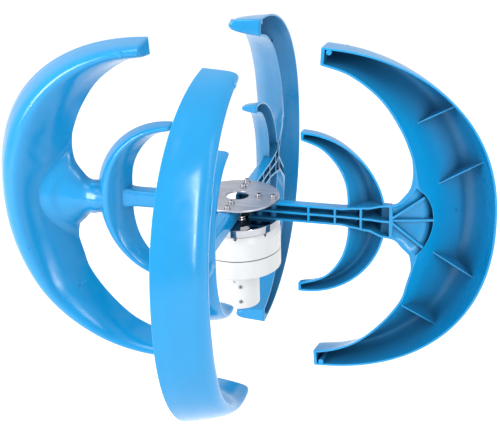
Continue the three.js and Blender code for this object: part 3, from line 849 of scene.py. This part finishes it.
# Thin gussets across the big trough: two ends, and how far the top lies behind the rim at each.
GUSSETS = [
    ((262, 122), (325, 156), 28, 28),
    ((294, 26), (366, 68), 30, 34),
    ((290, -71), (366, -118), 28, 32),
    ((251, -158), (317, -210), 4, 36),
]


def gusset_solid(start, end, start_drop, end_drop):
    overrun, half, floor = 25, 1.0, 90
    start, end = Vector(start), Vector(end)
    length = (end - start).length
    along = (end - start) / length
    side = Vector((-along.y, along.x))
    rings = []
    for distance in (-overrun, length + overrun):
        place = start + along * distance
        top = mix(start_drop, end_drop, distance / length) - RIM_FRONT
        ring = []
        for across, back in ((half, top), (-half, top), (-half, floor), (half, floor)):
            point = place + side * across
            ring.append((point.x, back, point.y + PLATE_TOP))
        rings.append(ring)
    return loft(rings)


def tip_marks(shell):
    """A small post in each end of the big trough, and a low round boss on the ridge near the top."""
    post_radius, from_edge, boss_radius, boss_along, ridge_part = 4, 6.5, 4.8, 0.035, 0.62
    posts = []
    for along in (0.012, 0.988):
        outer, inner = BIG["outer"].at(along), BIG["inner"].at(along)
        place = outer.lerp(inner, from_edge / (outer - inner).length)
        posts.append(combine(cross_post(post_radius, place, -RIM_FRONT, 60), copy_of(shell), "INTERSECT"))
    ridge = BIG["inner"].at(boss_along).lerp(BIG["outer"].at(boss_along), ridge_part)
    depth = max(p.y for p in section_ring(BIG, boss_along, 0))
    return posts, cross_post(boss_radius, ridge, depth - WALL + 1, depth + 0.5, 0.45)


def cross_post(radius, place, front, back, fillet=0.0):
    """A round post lying along Y at a place in the blade's plane."""
    post = disc(radius, front, back, fillet=fillet, segments=28)
    turn = Matrix.Rotation(-math.pi / 2, 4, "X")
    post.data.transform(Matrix.Translation(Vector((place.x, 0, place.y + PLATE_TOP)) * MM) @ turn)
    return post


def blade_moulding():
    """The blade along +X."""
    big = crescent_solid(BIG, 0)
    fan = fan_solid(big)
    big_hollow = crescent_solid(BIG, WALL)
    webs = [combine(gusset_solid(*gusset), copy_of(big), "INTERSECT") for gusset in GUSSETS]
    ribs = [combine(fan_rib(*rib), copy_of(fan), "INTERSECT") for rib in FAN_RIBS]
    posts, boss = tip_marks(big)
    cut(big, copy_of(big_hollow))
    cut(fan, big_hollow)
    small = crescent_solid(SMALL, 0)
    small_hollow = crescent_solid(SMALL, WALL)
    deepest, deep_start, deep_end = 60, 176, 236
    deep_cells = []
    for cell in arm_cells(deepest, deep_start, deep_end):
        deep_cells.append(combine(cell, copy_of(small_hollow), "INTERSECT"))
    cut(small_hollow, arm_bar(ARM_START, ARM_END, arm_high, arm_low, arm_front, deepest, ARM_CORNER))
    cut(small, small_hollow)
    arm = arm_bar(ARM_START, ARM_END, arm_high, arm_low, arm_front, ARM_BACK, ARM_CORNER)
    body = join(big, small, arm, fan)
    cut(body, fan_pocket())
    join(body, *ribs, *webs, *posts, boss)
    cut(body, *arm_cells(ARM_BACK - WALL, 0, ARM_END), *deep_cells)
    for r in BOLT_CIRCLES:
        join(body, disc(BOLT_BOSS, arm_low(r), arm_high(r), (r, 0)))
        cut(body, disc(BOLT_HOLE, arm_low(r) - 1, arm_high(r) + 1, (r, 0)))
    return shade(body)


def place_blades():
    first = blade_moulding()
    for i, side in enumerate(SIDES):
        blade = first if i == 0 else bpy.data.objects.new("blade", first.data.copy())
        if i:
            bpy.context.scene.collection.objects.link(blade)
            blade.data.transform(Matrix.Rotation(i * TURN / 4, 4, "Z"))
        finish_piece(blade, f"blade_{side}_moulding", "rotor", "blade_plastic", BLUE, f"blade_{side}")


place_blades()


# ---------------------------------------------------------------- hub
def bolt_places():
    for arm in range(4):
        for r in BOLT_CIRCLES:
            angle = arm * TURN / 4
            yield r * math.cos(angle), r * math.sin(angle)


def hub_plate():
    hole = 18
    plate = turned([
        (hole, PLATE_BOTTOM, 0.4), (PLATE_RADIUS, PLATE_BOTTOM, 0.5),
        (PLATE_RADIUS, PLATE_TOP, 0.5), (hole, PLATE_TOP, 0.4),
    ])
    cut(plate, *[disc(BOLT_HOLE, PLATE_BOTTOM - 1, PLATE_TOP + 1, place) for place in bolt_places()])
    finish_piece(shade(plate), "hub_plate_disc", "rotor", "hub_plate_steel", PLATE, "hub_plate")


def hub_flange():
    bore, bolt_thread = 10.1, 2.8
    flange = turned([
        (bore, FLANGE_BOTTOM, 0.3), (FLANGE_RADIUS, FLANGE_BOTTOM, 0.8),
        (FLANGE_RADIUS, FLANGE_TOP, 0.8), (bore, FLANGE_TOP, 0.3),
    ], 192)
    cut(flange, *[disc(bolt_thread, FLANGE_BOTTOM - 1, FLANGE_TOP + 1, place) for place in bolt_places()])
    finish_piece(shade(flange), "hub_flange_disc", "rotor", "flange_polish", MIRROR, "hub_flange")


def hub_bolts():
    """Socket head cap screws on thin washers."""
    head, washer, shank, socket, socket_depth = 4.3, 5.4, 2.5, 2.4, 2.8
    washer_top = PLATE_TOP + 0.9
    for i, place in enumerate(bolt_places()):
        node = f"hub_bolt_{i + 1}"
        head_top = high_of(node)
        bolt = disc(head, washer_top - 0.1, head_top, place, 40, 0.6)
        join(bolt, disc(washer, PLATE_TOP + 0.05, washer_top, place, 40, 0.2))
        join(bolt, disc(shank, low_of(node), washer_top, place))
        cut(bolt, disc(socket, head_top - socket_depth, head_top + 1, place, 6, turn=0.3 + i))
        finish_piece(shade(bolt), f"{node}_cap_screw", "rotor", "fastener_steel", FASTENER, node)


def main_shaft():
    centre_hole, low_journal, body, thread = 0.5, 7.3, 12.3, 9.8
    bottom, step, shoulder = low_of("main_shaft"), 91, FLANGE_BOTTOM - GAP
    shaft = turned([
        (centre_hole, bottom, 0), (low_journal, bottom, 0.4), (low_journal, step, 0.2), (body, step, 0.4),
        (body, shoulder, 0.4), (thread, shoulder, 0.2), (thread, SHAFT_TOP, 1), (centre_hole, SHAFT_TOP, 0),
    ], 96)
    finish_piece(shade(shaft), "main_shaft_turned", "rotor", "bearing_steel", GROUND, "main_shaft")


def shaft_nut():
    """A hexagon whose corners are turned off at both ends."""
    bore, corner_radius, chamfer_radius, chamfer = 10.1, 17.3, 15.4, 1.4
    nut = disc(corner_radius, NUT_LOW, NUT_HIGH, (0, 0), 6)
    crowned = turned([
        (9.6, NUT_LOW, 0), (chamfer_radius, NUT_LOW, 0), (17.4, NUT_LOW + chamfer, 0),
        (17.4, NUT_HIGH - chamfer, 0), (chamfer_radius, NUT_HIGH, 0), (9.6, NUT_HIGH, 0),
    ], 72)
    combine(nut, crowned, "INTERSECT")
    cut(nut, disc(bore, NUT_LOW - 1, NUT_HIGH + 1, segments=64))
    finish_piece(shade(nut, 20), "shaft_nut_hexagon", "rotor", "bearing_steel", GROUND, "shaft_nut")


def shaft_washer():
    bore, rim = 10.1, 18.5
    low, high = low_of("shaft_washer"), high_of("shaft_washer")
    washer = turned([(bore, low, 0.2), (rim, low, 0.3), (rim, high, 0.3), (bore, high, 0.2)], 96)
    finish_piece(shade(washer), "shaft_washer_ring", "rotor", "bearing_steel", GROUND, "shaft_washer")


hub_plate()
hub_flange()
hub_bolts()
main_shaft()
shaft_nut()
shaft_washer()


# ---------------------------------------------------------------- generator housing
SCREW_COUNT = 8
SCREW_CIRCLE = 60.8
SCREW_PHASE = math.radians(-79)
SCREW_HOLE = 1.9
SHOULDER_DROP = 10
COVER_BORE = 57
CABLE_HOLE = 9
SLEEVE_SCREW_CIRCLE = 22


def cover_screw_places():
    for i in range(SCREW_COUNT):
        angle = SCREW_PHASE + i * TURN / SCREW_COUNT
        yield SCREW_CIRCLE * math.cos(angle), SCREW_CIRCLE * math.sin(angle)


def sleeve_screw_places():
    for i in range(4):
        angle = TURN / 8 + i * TURN / 4
        yield SLEEVE_SCREW_CIRCLE * math.cos(angle), SLEEVE_SCREW_CIRCLE * math.sin(angle)


def painted(obj, name, node):
    finish_piece(shade(obj), name, "generator_housing", "white_paint", WHITE, node)


def upper_cover():
    seal_bore, seat, screw_seat = 19.2, 23.7, 3.3
    boss, roof, ledge = low_of("upper_bearing_outer_race") - 1.2, COVER_TOP - 6, 129.5
    cover = turned([
        (COVER_BORE, SEAM_HIGH, 0), (HOUSING_RADIUS - 0.5, SEAM_HIGH, 0),
        (HOUSING_RADIUS, SEAM_HIGH + 0.5, 0.2), (HOUSING_RADIUS, COVER_TOP - SHOULDER_DROP, 1.2),
        (62.6, COVER_TOP - 0.6, 0.8), (60.5, COVER_TOP, 0.6), (seal_bore, COVER_TOP, 0.4),
        (seal_bore, ledge, 0), (seat, ledge, 0), (seat, boss, 0.4), (seat + 4.5, boss, 0.4),
        (seat + 4.5, roof, 1), (COVER_BORE, roof, 1),
    ], 192)
    seat_height = COVER_TOP - SHOULDER_DROP - 1
    for place in cover_screw_places():
        cut(cover, disc(screw_seat, seat_height, COVER_TOP + 5, place))
        cut(cover, disc(SCREW_HOLE, SEAM_HIGH - 1, seat_height + 1, place, 16))
    painted(cover, "upper_cover_casting", "upper_cover")


def lower_cover():
    floor, seat, boss = HOUSING_BOTTOM + 6, 17.7, high_of("lower_bearing_outer_race") + 0.9
    ledge = low_of("lower_bearing_outer_race") - 0.5
    cover = turned([
        (CABLE_HOLE, HOUSING_BOTTOM, 0.4), (HOUSING_RADIUS, HOUSING_BOTTOM, 2.6),
        (HOUSING_RADIUS, SEAM_LOW - 0.5, 0.2), (HOUSING_RADIUS - 0.5, SEAM_LOW, 0),
        (COVER_BORE, SEAM_LOW, 0), (COVER_BORE, floor, 1), (seat + 4, floor, 1), (seat + 4, boss, 0.4),
        (seat, boss, 0.4), (seat, ledge, 0), (14, ledge, 0), (14, floor - 1, 0), (CABLE_HOLE, floor - 1, 0),
    ], 192)
    for place in cover_screw_places():
        cut(cover, disc(SCREW_HOLE, SEAM_LOW - 16, SEAM_LOW + 1, place, 16))
    for place in sleeve_screw_places():
        cut(cover, disc(SCREW_HOLE, HOUSING_BOTTOM - 1, HOUSING_BOTTOM + 4.2, place, 16))
    wire_channel = make_object("channel", *box_mesh((0, -4, floor - 0.5), (seat + 6, 4, ledge - 1.7)))
    cut(cover, wire_channel)
    painted(cover, "lower_cover_casting", "lower_cover")


def box_mesh(low, high):
    vertices = [(x, y, z) for x in (low[0], high[0]) for y in (low[1], high[1]) for z in (low[2], high[2])]
    faces = [(0, 1, 3, 2), (4, 6, 7, 5), (0, 4, 5, 1), (2, 3, 7, 6), (0, 2, 6, 4), (1, 5, 7, 3)]
    return vertices, faces


def seam_gasket():
    low, high = low_of("seam_gasket"), high_of("seam_gasket")
    outer = high_of("seam_gasket", 0)
    gasket = turned([
        (COVER_BORE, low, 0.1), (outer, low, 0.2), (outer, high, 0.2), (COVER_BORE, high, 0.1),
    ], 192)
    for place in cover_screw_places():
        cut(gasket, disc(SCREW_HOLE, low - 1, high + 1, place, 16))
    finish_piece(
        shade(gasket), "seam_gasket_ring", "generator_housing", "rubber_black", RUBBER, "seam_gasket")


def cover_screws():
    """Pan head screws with a hex socket, sunk in the shoulder."""
    head, shank, socket = 2.7, 1.5, 1.4
    for i, place in enumerate(cover_screw_places()):
        node = f"cover_screw_{i + 1}"
        top = high_of(node)
        screw = disc(head, top - 2.4, top, place, 32, 0.7)
        join(screw, disc(shank, low_of(node), top - 2.2, place, 16))
        cut(screw, disc(socket, top - 1.2, top + 1, place, 6))
        painted(screw, f"{node}_pan_head", node)


def lying(solid, angle, height):
    """Turns an upright solid round the origin to lie along a direction at a height."""
    turn = Matrix.Rotation(angle, 4, "Z") @ Matrix.Rotation(math.pi / 2, 4, "Y")
    solid.data.transform(Matrix.Translation((0, 0, height * MM)) @ turn)
    return solid


SET_SCREW_ANGLE = math.radians(-72)
SET_SCREW_HEIGHTS = [38.4, 12.8]
VENT_ANGLE = math.radians(-91)
VENT_HEIGHT = 47
MAST_RADIUS = 25.3
SLEEVE_ROOF = 8


def mast_sleeve():
    """The tube the mast goes into. Its roof holds the cable hole, the grommet and four screw heads."""
    hole, set_screw_thread, screw_head = 1.2, 3.5, 3.2
    inside = SLEEVE_TOP - SLEEVE_ROOF
    recess, recess_top = high_of("cable_grommet", 0) + GAP, inside + 2.6
    sleeve = turned([
        (MAST_RADIUS, 0, 0.6), (SLEEVE_RADIUS, 0, 1), (SLEEVE_RADIUS, SLEEVE_TOP, 0.4),
        (CABLE_HOLE, SLEEVE_TOP, 0.4), (CABLE_HOLE, recess_top, 0), (recess, recess_top, 0.2),
        (recess, inside, 0.3), (MAST_RADIUS, inside, 0.5),
    ], 160)
    cut(sleeve, lying(disc(hole, SLEEVE_RADIUS - 3, SLEEVE_RADIUS + 3), VENT_ANGLE, VENT_HEIGHT))
    for height in SET_SCREW_HEIGHTS:
        thread = disc(set_screw_thread, MAST_RADIUS - 3, SLEEVE_RADIUS + 3)
        cut(sleeve, lying(thread, SET_SCREW_ANGLE, height))
    for place in sleeve_screw_places():
        cut(sleeve, disc(SCREW_HOLE, inside - 1, SLEEVE_TOP + 1, place, 16))
        cut(sleeve, disc(screw_head, inside - 1, inside + 3, place))
    painted(sleeve, "mast_sleeve_tube", "mast_sleeve")


def mast_set_screws():
    screw_radius, socket = 3.2, 1.7
    for i, height in enumerate(SET_SCREW_HEIGHTS):
        node = f"mast_set_screw_{i + 1}"
        screw = disc(screw_radius, MAST_RADIUS + 0.6, SLEEVE_RADIUS - 0.3, segments=40, fillet=0.5)
        cut(screw, disc(socket, SLEEVE_RADIUS - 3.2, SLEEVE_RADIUS + 1, segments=6))
        lying(screw, SET_SCREW_ANGLE, height)
        finish_piece(shade(screw), f"{node}_socket", "generator_housing", "fastener_steel", FASTENER, node)


upper_cover()
lower_cover()
seam_gasket()
cover_screws()
mast_sleeve()
mast_set_screws()


# ---------------------------------------------------------------- pieces kept from the CAD
def dress(names, material):
    for name in names:
        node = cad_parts[name]
        node.data.materials.clear()
        node.data.materials.append(material)


dress([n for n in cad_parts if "race" in n], GROUND)
dress([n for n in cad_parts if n.startswith("sleeve_screw")], FASTENER)
dress([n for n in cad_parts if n.startswith("rotor_magnet")], NICKEL)
dress([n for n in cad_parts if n.startswith("stator_coil")], COPPER)
dress(["rotor_core", "stator_core"], LAMINATION)
dress(["shaft_seal", "cable_grommet"], RUBBER)


# ---------------------------------------------------------------- floor, light and camera
def floor():
    half, height = 12000, cad_low.z / MM - 250
    ground = make_object("floor", [(-half, -half, height), (half, -half, height), (half, half, height),
                                   (-half, half, height)], [(0, 1, 2, 3)])
    ground.data.materials.append(pale_floor())


def area_light(name, place, target, width, height, power):
    data = bpy.data.lights.new(name, "AREA")
    data.shape = "RECTANGLE"
    data.size, data.size_y = width, height
    data.energy = power
    lamp = bpy.data.objects.new(name, data)
    bpy.context.scene.collection.objects.link(lamp)
    lamp.location = place
    lamp.rotation_euler = (Vector(target) - Vector(place)).to_track_quat("-Z", "Y").to_euler()


def lights():
    world = bpy.data.worlds.new("studio")
    world.use_nodes = True
    sky = world.node_tree.nodes["Background"]
    sky.inputs["Color"].default_value = (1, 1, 1, 1)
    sky.inputs["Strength"].default_value = 0.95
    bpy.context.scene.world = world
    hub = (0, 0, PLATE_TOP * MM)
    area_light("overhead", (-0.6, -0.6, 2.4), hub, 1.2, 1.2, 22)
    area_light("left_soft", (-2.0, -1.9, 1.0), hub, 1.0, 1.6, 84)
    area_light("right_strip", (1.9, -1.6, 1.3), hub, 0.24, 2.6, 46)
    area_light("side_strip", (2.4, 0.15, 1.1), hub, 0.3, 3.0, 7)
    bpy.context.scene.view_settings.view_transform = "Standard"


def camera():
    """The photograph's view: where it was taken from, the way it looks, and a slight roll."""
    azimuth, elevation, roll = math.radians(15.618), math.radians(22.974), math.radians(-1.4696)
    place = Vector((0.5308, -1.8304, 0.9524))
    back = Vector((math.sin(azimuth) * math.cos(elevation), -math.cos(azimuth) * math.cos(elevation),
                   math.sin(elevation)))
    level = Vector((math.cos(azimuth), math.sin(azimuth), 0))
    upright = back.cross(level)
    right = level * math.cos(roll) + upright * math.sin(roll)
    up = upright * math.cos(roll) - level * math.sin(roll)
    data = bpy.data.cameras.new("camera")
    data.sensor_width = 36
    data.lens = 95.36
    data.clip_end = 50
    eye = bpy.data.objects.new("camera", data)
    eye.matrix_world = Matrix((
        (right.x, up.x, back.x, place.x),
        (right.y, up.y, back.y, place.y),
        (right.z, up.z, back.z, place.z),
        (0, 0, 0, 1),
    ))
    bpy.context.scene.collection.objects.link(eye)
    bpy.context.scene.camera = eye


floor()
lights()
camera()
